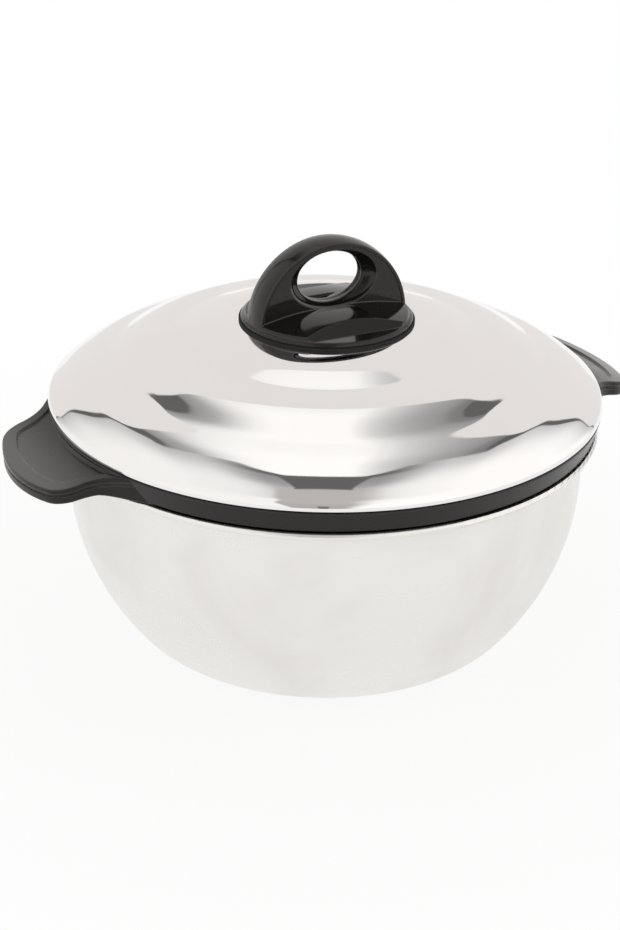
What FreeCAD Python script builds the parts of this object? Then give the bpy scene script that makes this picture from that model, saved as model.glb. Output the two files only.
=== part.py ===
"""Insulated serving casserole with a lift-off stepped lid.

A double-walled steel bowl and a double-walled steel lid, both filled with
rigid foam.  A black moulded collar with two drooping handle wings joins the
two shells of the bowl and seats the lid.  A moulded arch knob stands on the
middle of the lid.  Millimetres, +Z up, +X along the handles, and the origin
is the middle of the base.
"""
import FreeCAD, Part
import math
import os

# ---------------------------------------------------------------- driving sizes

# Fits and sheet gauges
FIT_GAP = 0.3             # clearance between pieces that seat or slide
FOAM_GAP = 0.2            # clearance round each foam filling
SHELL_T = 0.6             # outer bowl sheet
INNER_T = 0.5             # food bowl sheet
DOME_T = 0.6              # lid dome sheet
LINER_T = 0.5             # lid liner sheet

# The lid's edge drives every radius of the shells
LID_R = 130.0             # radius of the lid's edge

# Outer bowl, outside faces
WALL_INSET = 8.0          # upright wall, in from the lid's edge
WALL_Z = 88.0             # height where the round side turns upright
SIDE_ARC_R = 120.0        # radius of the round side
FOOT_ARC_R = 35.0         # radius of the corner onto the base
BASE_RING_W = 14.4        # flat ring that the bowl stands on
BASE_RECESS_H = 2.0       # depth of the recess inside that ring
BASE_RECESS_ARC = 2.2     # bend radius of the recess
FLARE_Z = 98.7            # height where the rim starts to flare
FLARE_ARC_R = 14.0        # bend radius of the flare
FLARE_ANGLE = 46.0        # degrees turned by the flare
BEAD_ARC_R = 1.0          # bend radius inside the rolled rim
BEAD_TURN = 216.0         # degrees turned by the rolled rim

# Food bowl, outside faces
INNER_INSET = 17.0        # upright wall, in from the lid's edge
INNER_WALL_Z = 88.0       # height where its side turns upright
INNER_ARC_R = 106.0       # radius of its round side
INNER_FOOT_R = 40.0       # corner radius at its floor
INNER_FLOOR_Z = 14.0      # underside of its floor
INNER_LIP_R = 1.8         # bend radius under its flange
INNER_FLANGE_W = 9.0      # width of the flange lying on the collar

# Handle collar
BAND_H = 9.2              # height of the outer band
BAND_TAPER = 2.4          # how far the band draws in towards its lower edge
BAND_CHAMFER = 1.0        # step between the band's lower edge and the bowl rim
BAND_EDGE = 0.5           # bevel of the band's upper edge
LAND_W = 4.2              # width of the land under the lid's edge
SEAT_DEPTH = 3.0          # food bowl flange seat below that land
LEDGE_T = 5.2             # thickness of the shelf under the flange
TONGUE_H = 10.2           # depth of the tongue inside the outer bowl
TONGUE_T = 2.6            # thickness of that tongue

# Handle wings
WING_REACH = 25.6         # each tip beyond the lid's edge
WING_TIP_ARC = 77.0       # plan radius of the tip
WING_TIP_HALF_W = 35.4    # half width at the tip corners
WING_ROOT_HALF_W = 38.4   # half width at the root
WING_CORNER_R = 13.4      # plan radius of the tip corners
WING_FLARE_R = 20.0       # plan radius where the root spreads into the band
WING_FLARE_L = 36.0       # length of that spread
WING_FLARE_ANGLE = 50.0   # degrees that it turns outwards
WING_FLARE_X = 0.5        # where it is centred, inside the lid's edge
WING_DROP = 3.1           # top of the root below the lid's edge
WING_DROOP = 14.5         # degrees the wing slopes down
WING_T = 6.3              # full depth of the wing at its tip
WING_PLATE_T = 2.2        # depth of its overhanging top plate
WING_LIP = 1.0            # overhang of that plate over the groove below it
WING_GROOVE_H = 1.5       # height of that groove
WING_SKIRT_LIP = 0.3      # overhang of the plate over the skirt below the groove
WING_WALL_T = 2.2         # wall round the open underside
WING_EDGE_R = 0.8         # rounding of the top edge
WING_RIB_T = 1.6          # ribs under the plate
WING_RIB_PITCH = 19.0     # spacing of those ribs
PANEL_MARGIN = 6.4        # border round the sunk top panel
PANEL_DEPTH = 0.9         # depth of that panel
PANEL_BEVEL = 0.8         # slope of its edge

# Lid dome, outside faces
LID_RISE = 36.7           # plateau above the lid's lower edge
DOME_EDGE_ARC = 4.6       # bend radius of the dome into its edge
HEM_ARC_R = 0.95          # bend radius of the turned-in hem
HEM_H = 2.0               # height of the hem's inner leg
# Rings of the stepped dome: share of the lid's radius, share of its rise, bend radius
DOME_RINGS = (
    (0.390, 0.000, 69.0),  # edge of the plateau under the knob
    (0.542, 0.170, 5.0),   # valley between the two steps
    (0.652, 0.232, 12.0),  # edge of the flat terrace
    (0.781, 0.454, 25.0),  # steep half of the second slope
    (0.850, 0.542, 40.0),  # easier half and start of the shoulder
    (0.931, 0.708, 50.0),  # rounding of the shoulder
)
DOME_SHOULDER = 0.905     # share of the rise where the last slope meets the edge

# Lid liner, outside faces
LINER_CLEAR = 1.2         # gap between the liner's wall and the food bowl
LINER_DEPTH = 10.0        # floor of the liner below the lid's lower edge
LINER_ARC_R = 6.0         # corner radius at its floor
LINER_LIP_R = 1.6         # bend radius under its flange
LINER_PAN_R = 70.0        # radius of the raised middle of its floor
LINER_PAN_H = 2.4         # height of that raised middle
LINER_PAN_ARC = 5.0       # bend radius of that step

# Knob
KNOB_BASE_R = 40.1        # round base of the knob
GASKET_MARGIN = 0.9       # pad under the knob, beyond its base
GASKET_T = 1.0            # thickness of that pad
KNOB_RIM_H = 1.2          # upright edge of that base
KNOB_STEP_H = 2.2         # flat ring inside the edge
KNOB_STEP_W = 1.6         # from the edge to the foot of the domed top
KNOB_EDGE_ARC = 0.6       # rounding of the outer edge
KNOB_DOME_H = 7.3         # middle of the domed top
KNOB_DOME_R = 37.9        # radius where the domed top drops to the flat ring
KNOB_DOME_EDGE_H = 3.6    # height of the domed top there
KNOB_DOME_BEND = 90.0     # bend radius of the domed top
KNOB_FLAT_R = 19.0        # where that bend is centred
FACET_Y = 31.4            # near edge of each finger facet from the middle
FACET_SLOPE = 26.0        # degrees each facet rises towards the arch
ARCH_HALF_W = 38.6        # half width of the arch
ARCH_H = 38.9             # height of the arch above the pad
ARCH_FOOT_Y = 7.7         # half depth of the arch at its foot
ARCH_TOP_Y = 7.1          # half depth at its crown
ARCH_CROWN = 1.2          # bulge of the outer band
ARCH_LIP = 1.3            # lip left round the sunk faces
FACE_SINK = 0.6           # how far the two faces are sunk
EYE_Z = 20.6              # centre of the finger hole above the pad
EYE_MOUTH_X = 22.4        # half width of the hole at the faces
EYE_MOUTH_Z = 14.0        # half height of the hole at the faces
EYE_THROAT_X = 17.2       # half width of the hole at its throat
EYE_THROAT_Z = 12.3       # half height of the hole at its throat
EYE_THROAT_Y = 3.0        # half length of the straight throat
EYE_BELLY = 0.58          # share of the funnel's opening reached at its belly
EYE_BELLY_Y = 0.62        # share of its depth where the belly lies

# Knob fixing
SCREW_X = 16.0            # each screw from the middle, under the arch
SCREW_R = 2.0
SCREW_LEN = 10.0          # shank above the washer
SCREW_HEAD_R = 3.8
SCREW_HEAD_H = 2.6
SLOT_DEPTH = 1.2          # cross slot in the head
SLOT_W = 1.1
HEAD_ROUND = 1.2          # rounding of the head
SLOT_L = 4.6
THREAD_GAP = 0.05         # shank to the pilot hole in the knob
PILOT_SPARE = 1.5         # pilot hole beyond the screw's end
HOLE_CLEAR = 0.3          # shank to the holes it passes freely
WASHER_R = 5.2
WASHER_T = 1.0

# ---------------------------------------------------------------- derived places

ORIGIN = FreeCAD.Vector(0, 0, 0)
UP = FreeCAD.Vector(0, 0, 1)
MIRROR_X = FreeCAD.Vector(1, 0, 0)
BIG = 4.0 * LID_R         # reach of cutting blocks
WALL_R = LID_R - WALL_INSET
INNER_R = LID_R - INNER_INSET
WING_TIP_X = LID_R + WING_REACH
WING_DEEP = 4 * WING_T    # reach of the wing's blocks before its underside trims them
GASKET_R = KNOB_BASE_R + GASKET_MARGIN


def point(r, z):
    """A point of a section drawn in the XZ plane."""
    return FreeCAD.Vector(r, 0, z)


def unit(start, end):
    """Direction from one vertex to the next, as (dr, dz)."""
    length = math.hypot(end[0] - start[0], end[1] - start[1])
    return (end[0] - start[0]) / length, (end[1] - start[1]) / length


# ---------------------------------------------------------------- bent paths

def corner_angle(before, here, after):
    """Signed turn at a vertex, left turns positive, in radians."""
    ax, ay = unit(before, here)
    bx, by = unit(here, after)
    return math.atan2(ax * by - ay * bx, ax * bx + ay * by)


def offset_path(path, distance):
    """The path moved to its left by a distance, bends staying concentric."""
    moved = []
    last = len(path) - 1
    for i, (r, z, bend) in enumerate(path):
        before = unit(path[max(i - 1, 0)], path[max(i, 1)])
        after = unit(path[min(i, last - 1)], path[min(i + 1, last)])
        side = (-before[1] - after[1], before[0] + after[0])
        scale = distance / (1.0 + before[0] * after[0] + before[1] * after[1])
        new_bend = bend
        if bend:
            turn = corner_angle(path[i - 1], path[i], path[i + 1])
            new_bend = bend - math.copysign(distance, turn)
        moved.append((r + side[0] * scale, z + side[1] * scale, new_bend))
    return moved


def path_edges(path):
    """Lines and tangent arcs of a path of (r, z, bend radius) vertices."""
    edges = []
    here = point(path[0][0], path[0][1])
    for before, vertex, after in zip(path, path[1:], path[2:]):
        turn = corner_angle(before, vertex, after)
        reach = vertex[2] * math.tan(abs(turn) / 2)
        into = unit(before, vertex)
        out = unit(vertex, after)
        start = point(vertex[0] - into[0] * reach, vertex[1] - into[1] * reach)
        end = point(vertex[0] + out[0] * reach, vertex[1] + out[1] * reach)
        edges += line_between(here, start)
        here = start
        if reach > 1e-6:
            depth = vertex[2] * (1 / math.cos(turn / 2) - 1)
            bisector = FreeCAD.Vector(out[0] - into[0], 0, out[1] - into[1])
            bisector.normalize()
            middle = point(vertex[0], vertex[1]) + bisector * depth
            edges.append(Part.Arc(start, middle, end).toShape())
            here = end
    return edges + line_between(here, point(path[-1][0], path[-1][1]))


def line_between(start, end):
    """A straight edge, or nothing where the two bends meet directly."""
    if start.distanceToPoint(end) < 1e-5:
        return []
    return [Part.LineSegment(start, end).toShape()]


def curl(path, bend, degrees):
    """Carries a path on round one bend, right turns for positive degrees."""
    steps = max(2, math.ceil(abs(degrees) / 80))
    step = math.radians(degrees) / steps
    reach = bend * math.tan(abs(step) / 2)
    heading = math.atan2(*reversed(unit(path[-2], path[-1])))
    r, z = path[-1][0], path[-1][1]
    grown = path[:-1]
    for _ in range(steps):
        r += reach * math.cos(heading)
        z += reach * math.sin(heading)
        grown.append((r, z, bend))
        heading -= step
        r += reach * math.cos(heading)
        z += reach * math.sin(heading)
    return grown + [(r, z, 0.0)]


def closed_face(edges):
    """A face inside a ring of edges given in order."""
    return Part.Face(Part.Wire(Part.__sortEdges__(edges)))


def turned(face):
    """A full turn of a section about the Z axis."""
    return face.revolve(ORIGIN, UP, 360)


def sheet(path, thickness):
    """Sheet of one thickness turned about Z, its material to the left."""
    outside = path_edges(path)
    shifted = offset_path(path, thickness)
    inside = path_edges(shifted)
    first = line_between(point(*path[0][:2]), point(*shifted[0][:2]))
    last = line_between(point(*path[-1][:2]), point(*shifted[-1][:2]))
    return turned(closed_face(outside + last + inside + first))


def filled(path, level):
    """The turned solid between a path that starts on the axis and a level."""
    start = point(*path[0][:2])
    end = point(*path[-1][:2])
    rim = point(end.x, level)
    axis = point(0, level)
    lines = line_between(end, rim) + line_between(rim, axis) + line_between(axis, start)
    return turned(closed_face(path_edges(path) + lines))


def polygon_turned(corners):
    """A turned solid with straight sides."""
    wire = Part.makePolygon([point(r, z) for r, z in corners + corners[:1]])
    return turned(Part.Face(wire))


def ring(inner_r, outer_r, low, high):
    """A plain ring between two radii and two heights."""
    return polygon_turned([(inner_r, low), (outer_r, low), (outer_r, high), (inner_r, high)])


# ---------------------------------------------------------------- bowl shells

def side_rise(wall_z, side_r, foot_r, floor_z):
    """Angle of the side arc above its foot arc, in radians."""
    return math.asin((wall_z - floor_z - foot_r) / (side_r - foot_r))


def foot_radius(wall_r, wall_z, side_r, foot_r, floor_z):
    """Radius at which a bowl's flat floor turns up into its foot arc."""
    rise = side_rise(wall_z, side_r, foot_r, floor_z)
    return wall_r - side_r + (side_r - foot_r) * math.cos(rise)


def bowl_path(wall_r, wall_z, side_r, foot_r, floor_z, top_z):
    """Outside of a round bowl: flat floor, foot arc, side arc, upright wall."""
    rise = side_rise(wall_z, side_r, foot_r, floor_z)
    foot_centre_r = foot_radius(wall_r, wall_z, side_r, foot_r, floor_z)
    floor_corner = foot_centre_r + foot_r * math.tan((math.pi / 2 - rise) / 2)
    wall_corner = wall_z - side_r * math.tan(rise / 2)
    return [(0.0, floor_z, 0.0), (floor_corner, floor_z, foot_r),
            (wall_r, wall_corner, side_r), (wall_r, top_z, 0.0)]


def outer_bowl_path():
    """Outside of the outer bowl, from the recessed base to the rolled rim."""
    plain = bowl_path(WALL_R, WALL_Z, SIDE_ARC_R, FOOT_ARC_R, 0.0, FLARE_Z)
    recess_r = foot_radius(WALL_R, WALL_Z, SIDE_ARC_R, FOOT_ARC_R, 0.0) - BASE_RING_W
    recess = [(0.0, BASE_RECESS_H, 0.0),
              (recess_r - BASE_RECESS_H, BASE_RECESS_H, BASE_RECESS_ARC),
              (recess_r + BASE_RECESS_H, 0.0, BASE_RECESS_ARC)]
    path = recess + plain[1:]
    path = curl(path, FLARE_ARC_R, FLARE_ANGLE)
    return curl(path, BEAD_ARC_R, BEAD_TURN)


OUTER_PATH = outer_bowl_path()


def rim_top():
    """Highest point of the rolled rim."""
    flare = math.radians(FLARE_ANGLE)
    bead = BEAD_ARC_R * (1 - math.sin(flare)) + SHELL_T
    return FLARE_Z + FLARE_ARC_R * math.sin(flare) + bead


COLLAR_LOW = rim_top() + FIT_GAP
BAND_LOW = COLLAR_LOW + BAND_CHAMFER
LAND_Z = BAND_LOW + BAND_H
SEAT_Z = LAND_Z - SEAT_DEPTH
SHELF_Z = SEAT_Z - LEDGE_T
BAND_TOP_R = LID_R - FIT_GAP
BAND_LOW_R = BAND_TOP_R - BAND_TAPER
TONGUE_R = WALL_R - SHELL_T - FIT_GAP
TONGUE_LOW = COLLAR_LOW - TONGUE_H
BORE_R = INNER_R + FIT_GAP
LID_EDGE_Z = LAND_Z + FIT_GAP
PLATEAU_Z = LID_EDGE_Z + LID_RISE
PAD_TOP_Z = PLATEAU_Z + GASKET_T
LINER_R = INNER_R - INNER_T - LINER_CLEAR
LINER_FLOOR_Z = LID_EDGE_Z - LINER_DEPTH
WASHER_LOW = PLATEAU_Z - DOME_T - WASHER_T


def make_outer_bowl():
    """Satin steel shell with a pressed base and a rolled, flared rim."""
    return sheet(OUTER_PATH, SHELL_T)


def food_bowl_path():
    """Outside of the food bowl, ending in its flange on the collar."""
    path = bowl_path(INNER_R, INNER_WALL_Z, INNER_ARC_R, INNER_FOOT_R, INNER_FLOOR_Z, SEAT_Z)
    corner = (INNER_R, SEAT_Z, INNER_LIP_R)
    return path[:-1] + [corner, (INNER_R + INNER_FLANGE_W, SEAT_Z, 0.0)]


FOOD_PATH = food_bowl_path()


def make_inner_bowl():
    """Food bowl, its flange lying in the collar's seat."""
    return sheet(FOOD_PATH, INNER_T)


def make_bowl_foam():
    """Rigid foam between the two shells of the bowl."""
    top = SHELF_Z - FOAM_GAP
    wall_end = OUTER_PATH[:-1]
    upright = [v for v in wall_end if v[1] <= FLARE_Z and v[0] <= WALL_R]
    inside = offset_path(upright + [(WALL_R, top, 0.0)], SHELL_T + FOAM_GAP)
    core_path = FOOD_PATH[:-2] + [(INNER_R, top + BAND_H, 0.0)]
    core = filled(offset_path(core_path, -FOAM_GAP), top + BAND_H)
    tongue = ring(TONGUE_R - TONGUE_T - FOAM_GAP, WALL_R, TONGUE_LOW - FOAM_GAP, top + BAND_H)
    return filled(inside, top).cut(core).cut(tongue)


# ---------------------------------------------------------------- handle collar

def collar_section():
    """Moulded ring: band, land under the lid, flange seat and tongue."""
    corner = INNER_LIP_R + FIT_GAP
    return [(BORE_R, SHELF_Z), (BORE_R, SEAT_Z - corner), (BORE_R + corner, SEAT_Z),
            (BAND_TOP_R - LAND_W, SEAT_Z), (BAND_TOP_R - LAND_W, LAND_Z),
            (BAND_TOP_R - BAND_EDGE, LAND_Z), (BAND_TOP_R, LAND_Z - BAND_EDGE),
            (BAND_LOW_R, BAND_LOW),
            (BAND_LOW_R - BAND_CHAMFER, COLLAR_LOW), (TONGUE_R, COLLAR_LOW),
            (TONGUE_R, TONGUE_LOW), (TONGUE_R - TONGUE_T, TONGUE_LOW),
            (TONGUE_R - TONGUE_T, SHELF_Z)]


def wing_outline(inset):
    """Plan of the +X wing, drawn in by an inset, as a tall prism."""
    tip = WING_TIP_X - inset
    arc = WING_TIP_ARC - inset
    reach = LID_R + WING_FLARE_R
    slope = (WING_ROOT_HALF_W - WING_TIP_HALF_W) / (WING_TIP_X - LID_R)
    root = WING_ROOT_HALF_W - inset
    flare = math.radians(WING_FLARE_ANGLE)
    bend_x = LID_R - WING_FLARE_X
    bend_y = root + slope * WING_FLARE_X
    side = [(bend_x - WING_FLARE_L * math.cos(flare),
             bend_y + WING_FLARE_L * math.sin(flare), 0.0),
            (bend_x, bend_y, WING_FLARE_R + inset),
            (WING_TIP_X + reach, root - slope * (reach + WING_TIP_X - LID_R), 0.0)]
    upper = path_edges(side)
    lower = [edge.copy() for edge in upper]
    for edge in lower:
        edge.rotate(ORIGIN, MIRROR_X, 180)
    ends = [Part.LineSegment(point(x, -w), point(x, w)).toShape()
            for x, w, _ in (side[0], side[-1])]
    face = closed_face(upper + lower + ends)
    face.rotate(ORIGIN, MIRROR_X, -90)
    prism = face.extrude(FreeCAD.Vector(0, 0, BIG))
    prism.translate(FreeCAD.Vector(0, 0, -BIG / 4))
    disc = Part.makeCylinder(arc, BIG, FreeCAD.Vector(tip - arc, 0, -BIG / 4))
    prism = prism.common(disc)
    return prism.makeFillet(WING_CORNER_R - inset, corner_edges(prism, tip - WING_CORNER_R))


def corner_edges(prism, beyond):
    """Upright edges of a prism outside a given reach."""
    return [edge for edge in prism.Edges
            if abs(edge.tangentAt(edge.FirstParameter).z) > 0.9
            and edge.CenterOfMass.x > beyond]


def wing_top(x):
    """Height of the wing's drooping top face."""
    return LID_EDGE_Z - WING_DROP - (x - LID_R) * math.tan(math.radians(WING_DROOP))


def cross_block(corners):
    """Block of one XZ section that runs across both sides of the wing."""
    wire = Part.makePolygon([point(x, z) for x, z in corners + corners[:1]])
    block = Part.Face(wire).extrude(FreeCAD.Vector(0, BIG, 0))
    block.translate(FreeCAD.Vector(0, -BIG / 2, 0))
    return block


def wing_slab(upper, lower):
    """Sloping slab between two depths below the wing's top face."""
    near, far = LID_R - WING_FLARE_L, WING_TIP_X + WING_FLARE_L
    return cross_block([(near, wing_top(near) - lower), (far, wing_top(far) - lower),
                        (far, wing_top(far) - upper), (near, wing_top(near) - upper)])


def wing_bounds():
    """Room of the wing: under the lid, and over a level and then drooping underside."""
    near, far = LID_R - WING_FLARE_L, WING_TIP_X + WING_REACH
    tip_low = wing_top(WING_TIP_X) - WING_T
    return cross_block([(near, COLLAR_LOW), (LID_R, COLLAR_LOW),
                        (far, 2 * tip_low - COLLAR_LOW), (far, LAND_Z), (near, LAND_Z)])


def outside_band(radius):
    """Everything beyond a radius, for ending the wing at the band."""
    block = Part.makeBox(BIG, BIG, BIG, FreeCAD.Vector(0, -BIG / 2, -BIG / 4))
    return block.cut(Part.makeCylinder(radius, BIG, FreeCAD.Vector(0, 0, -BIG / 4)))


def rim_edges(slab, direction):
    """Edges of a slab's upper (1) or lower (-1) face, without its near end."""
    level = [face for face in slab.Faces if direction * face.normalAt(0, 0).z > 0.9]
    face = max(level, key=lambda item: item.Area)
    return [edge for edge in face.Edges
            if edge.CenterOfMass.x > face.BoundBox.XMin + WING_EDGE_R]


def rounded_plate():
    """Top plate of the wing with its outer top edge rounded."""
    plate = wing_outline(0).common(wing_slab(0, WING_PLATE_T))
    return plate.makeFillet(WING_EDGE_R, rim_edges(plate, 1))


def sunk_panel():
    """Block that sinks the panel in the wing's top, narrower at its floor."""
    block = wing_outline(PANEL_MARGIN).common(wing_slab(-WING_T, PANEL_DEPTH))
    block = block.makeChamfer(PANEL_BEVEL, rim_edges(block, -1))
    return block.common(outside_band(BAND_TOP_R))


def wing_ribs():
    """Ribs across the open underside, running out from the bowl."""
    ribs = [Part.makeBox(BIG, WING_RIB_T, BIG,
                         FreeCAD.Vector(0, k * WING_RIB_PITCH - WING_RIB_T / 2, -BIG / 4))
            for k in (-1, 0, 1)]
    return ribs[0].multiFuse(ribs[1:])


def make_wing():
    """One moulded wing: sunk panel on top, ribbed and open underneath."""
    body = wing_outline(WING_LIP).common(wing_slab(0, WING_DEEP))
    skirt = wing_outline(WING_SKIRT_LIP)
    skirt = skirt.common(wing_slab(WING_PLATE_T + WING_GROOVE_H, WING_DEEP))
    hollow = wing_outline(WING_LIP + WING_WALL_T).common(wing_slab(WING_PLATE_T, 2 * WING_DEEP))
    hollow = hollow.common(outside_band(BAND_TOP_R + WING_WALL_T)).cut(wing_ribs())
    wing = rounded_plate().multiFuse([body, skirt]).cut(hollow).cut(sunk_panel())
    return wing.common(wing_bounds()).common(outside_band(BAND_LOW_R - BAND_CHAMFER))


def make_collar():
    """Collar with both wings in one moulding."""
    wing = make_wing()
    other = wing.copy()
    other.rotate(ORIGIN, UP, 180)
    return polygon_turned(collar_section()).multiFuse([wing, other]).removeSplitter()


# ---------------------------------------------------------------- lid

SHOULDER_Z = PLATEAU_Z - DOME_SHOULDER * LID_RISE


def dome_path():
    """Outside of the dome from its plateau to the turned-in hem."""
    path = [(0.0, PLATEAU_Z, 0.0)]
    path += [(across * LID_R, PLATEAU_Z - down * LID_RISE, bend)
             for across, down, bend in DOME_RINGS]
    path.append((LID_R, SHOULDER_Z, DOME_EDGE_ARC))
    outer_bend = HEM_ARC_R + DOME_T / 2
    path.append((LID_R, LID_EDGE_Z + outer_bend, 0.0))
    path = curl(path, outer_bend, 180)
    r, z, _ = path[-1]
    return path[:-1] + [(r, z + HEM_H, 0.0)]


DOME_PATH = dome_path()


def flipped(path):
    """The same path walked from its other end."""
    return list(reversed(path))


def screw_holes(radius, low, high):
    """The pair of upright holes for the knob's screws."""
    holes = [Part.makeCylinder(radius, high - low, FreeCAD.Vector(x, 0, low))
             for x in (-SCREW_X, SCREW_X)]
    return holes[0].fuse(holes[1])


def make_lid_dome():
    """Polished stepped dome, hemmed round the liner."""
    dome = sheet(flipped(DOME_PATH), DOME_T)
    return dome.cut(screw_holes(SCREW_R + HOLE_CLEAR, PLATEAU_Z - 2 * DOME_T, PAD_TOP_Z))


def liner_path():
    """Underside of the liner, from its raised middle to its flange."""
    flange_z = LID_EDGE_Z + HEM_ARC_R + DOME_T / 2
    flange_r = LID_R - 2 * (HEM_ARC_R + DOME_T / 2) - FIT_GAP
    rise = LINER_FLOOR_Z + LINER_PAN_H
    return [(0.0, rise, 0.0),
            (LINER_PAN_R - LINER_PAN_H, rise, LINER_PAN_ARC),
            (LINER_PAN_R + LINER_PAN_H, LINER_FLOOR_Z, LINER_PAN_ARC),
            (LINER_R, LINER_FLOOR_Z, LINER_ARC_R),
            (LINER_R, flange_z, LINER_LIP_R),
            (flange_r, flange_z, 0.0)]


LINER_PATH = liner_path()


def make_lid_liner():
    """Steel pan that closes the lid and hangs inside the food bowl."""
    return sheet(LINER_PATH, LINER_T)


def make_lid_foam():
    """Rigid foam between the dome and its liner, with room for the screws."""
    shell = [v for v in DOME_PATH if v[0] < LID_R]
    shell = shell[:len(DOME_RINGS) + 1] + [(LID_R, SHOULDER_Z, 0.0)]
    under = filled(offset_path(shell, -(DOME_T + FOAM_GAP)), LINER_FLOOR_Z)
    pan = offset_path(LINER_PATH, LINER_T + FOAM_GAP)
    above = pan + [(LID_R, pan[-1][1], 0.0)]
    pocket_low = WASHER_LOW - SCREW_HEAD_H - FOAM_GAP
    pockets = screw_holes(WASHER_R + FOAM_GAP, pocket_low, PLATEAU_Z)
    floor = filled(above, LINER_FLOOR_Z - LINER_T)
    edge = ring(pan[-1][0] + FIT_GAP, LID_R, LINER_FLOOR_Z, PLATEAU_Z)
    return under.cut(floor).cut(edge).cut(pockets)


# ---------------------------------------------------------------- knob

def ellipse_face(half_x, half_z, centre_z, y):
    """Upright elliptical face at one depth."""
    long_x = half_x >= half_z
    curve = Part.Ellipse(ORIGIN, max(half_x, half_z), min(half_x, half_z))
    face = Part.Face(Part.Wire(curve.toShape()))
    if not long_x:
        face.rotate(ORIGIN, UP, 90)
    face.rotate(ORIGIN, MIRROR_X, 90)
    face.translate(FreeCAD.Vector(0, y, PAD_TOP_Z + centre_z))
    return face


def arch_prism(inset):
    """Half-ellipse arch through the full depth, drawn in by an inset."""
    face = ellipse_face(ARCH_HALF_W - inset, ARCH_H - inset, 0.0, -2 * ARCH_FOOT_Y)
    prism = face.extrude(FreeCAD.Vector(0, 4 * ARCH_FOOT_Y, 0))
    above = Part.makeBox(BIG, BIG, BIG, FreeCAD.Vector(-BIG / 2, -BIG / 2, PAD_TOP_Z))
    return prism.common(above)


def arch_wedge(sink):
    """Slab whose two faces lean together from the foot to the crown."""
    foot, top = ARCH_FOOT_Y - sink, ARCH_TOP_Y - sink
    high = PAD_TOP_Z + ARCH_H
    corners = [(-foot, PAD_TOP_Z), (foot, PAD_TOP_Z), (top, high), (-top, high)]
    wire = Part.makePolygon([FreeCAD.Vector(-BIG / 2, y, z) for y, z in corners + corners[:1]])
    return Part.Face(wire).extrude(FreeCAD.Vector(BIG, 0, 0))


def crowned_arch():
    """Arch whose outer band bulges along the middle of its depth."""
    sections = []
    for share in (-1.0, -0.5, 0.0, 0.5, 1.0):
        inset = ARCH_CROWN * share * share
        face = ellipse_face(ARCH_HALF_W - inset, ARCH_H - inset, 0.0, ARCH_FOOT_Y * share)
        sections.append(face.OuterWire)
    solid = Part.makeLoft(sections, True)
    above = Part.makeBox(BIG, BIG, BIG, FreeCAD.Vector(-BIG / 2, -BIG / 2, PAD_TOP_Z))
    return solid.common(above)


def finger_eye():
    """Funnel-mouthed finger hole, narrowest along its middle."""
    mouth_y = ARCH_FOOT_Y - EYE_Z * (ARCH_FOOT_Y - ARCH_TOP_Y) / ARCH_H
    stations = [(0.0, 0.0), (EYE_THROAT_Y, 0.0), (mouth_y * EYE_BELLY_Y, EYE_BELLY),
                (mouth_y, 1.0), (2 * mouth_y - mouth_y * EYE_BELLY_Y, 2.0 - EYE_BELLY)]
    wires = []
    for y, share in stations:
        half_x = EYE_THROAT_X + (EYE_MOUTH_X - EYE_THROAT_X) * share
        half_z = EYE_THROAT_Z + (EYE_MOUTH_Z - EYE_THROAT_Z) * share
        wires.append(ellipse_face(half_x, half_z, EYE_Z, -y).OuterWire)
    front = Part.makeLoft(wires, True)
    back = front.mirror(ORIGIN, FreeCAD.Vector(0, 1, 0))
    return front.fuse(back)


def knob_base():
    """Round base: upright edge, flat ring and a domed top."""
    foot_r = KNOB_BASE_R - KNOB_STEP_W
    path = [(0.0, KNOB_DOME_H, 0.0),
            (KNOB_FLAT_R, KNOB_DOME_H, KNOB_DOME_BEND),
            (KNOB_DOME_R, KNOB_DOME_EDGE_H, KNOB_EDGE_ARC),
            (foot_r, KNOB_STEP_H, 0.0),
            (KNOB_BASE_R - (KNOB_STEP_H - KNOB_RIM_H), KNOB_STEP_H, KNOB_EDGE_ARC),
            (KNOB_BASE_R, KNOB_RIM_H, KNOB_EDGE_ARC),
            (KNOB_BASE_R, 0.0, 0.0)]
    base = filled([(r, PAD_TOP_Z + z, bend) for r, z, bend in path], PAD_TOP_Z)
    return base.cut(finger_facet(-1)).cut(finger_facet(1))


def finger_facet(side):
    """Block above one sloping facet, cut from the domed top."""
    reach = (ARCH_H - KNOB_STEP_H) / math.tan(math.radians(FACET_SLOPE))
    corners = [(FACET_Y, KNOB_STEP_H), (FACET_Y - reach, ARCH_H),
               (FACET_Y + reach, ARCH_H), (FACET_Y + reach, KNOB_STEP_H)]
    wire = Part.makePolygon([FreeCAD.Vector(-KNOB_BASE_R, side * y, PAD_TOP_Z + z)
                             for y, z in corners + corners[:1]])
    return Part.Face(wire).extrude(FreeCAD.Vector(2 * KNOB_BASE_R, 0, 0))


def make_knob():
    """Arch knob: crowned band, sunk faces, funnel-mouthed hole, round base."""
    crowned = crowned_arch()
    lip = crowned.common(arch_wedge(0)).cut(arch_prism(ARCH_LIP + ARCH_CROWN))
    face = crowned.common(arch_wedge(FACE_SINK))
    solid = lip.fuse(face).fuse(knob_base()).cut(finger_eye())
    shank_top = WASHER_LOW + WASHER_T + SCREW_LEN
    pilots = screw_holes(SCREW_R + THREAD_GAP, PAD_TOP_Z - 1, shank_top + PILOT_SPARE)
    return solid.cut(pilots).removeSplitter()


def make_gasket():
    """Thin round pad between the knob and the plateau."""
    pad = Part.makeCylinder(GASKET_R, GASKET_T, FreeCAD.Vector(0, 0, PLATEAU_Z))
    return pad.cut(screw_holes(SCREW_R + HOLE_CLEAR, PLATEAU_Z - 1, PAD_TOP_Z + 1))


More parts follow.
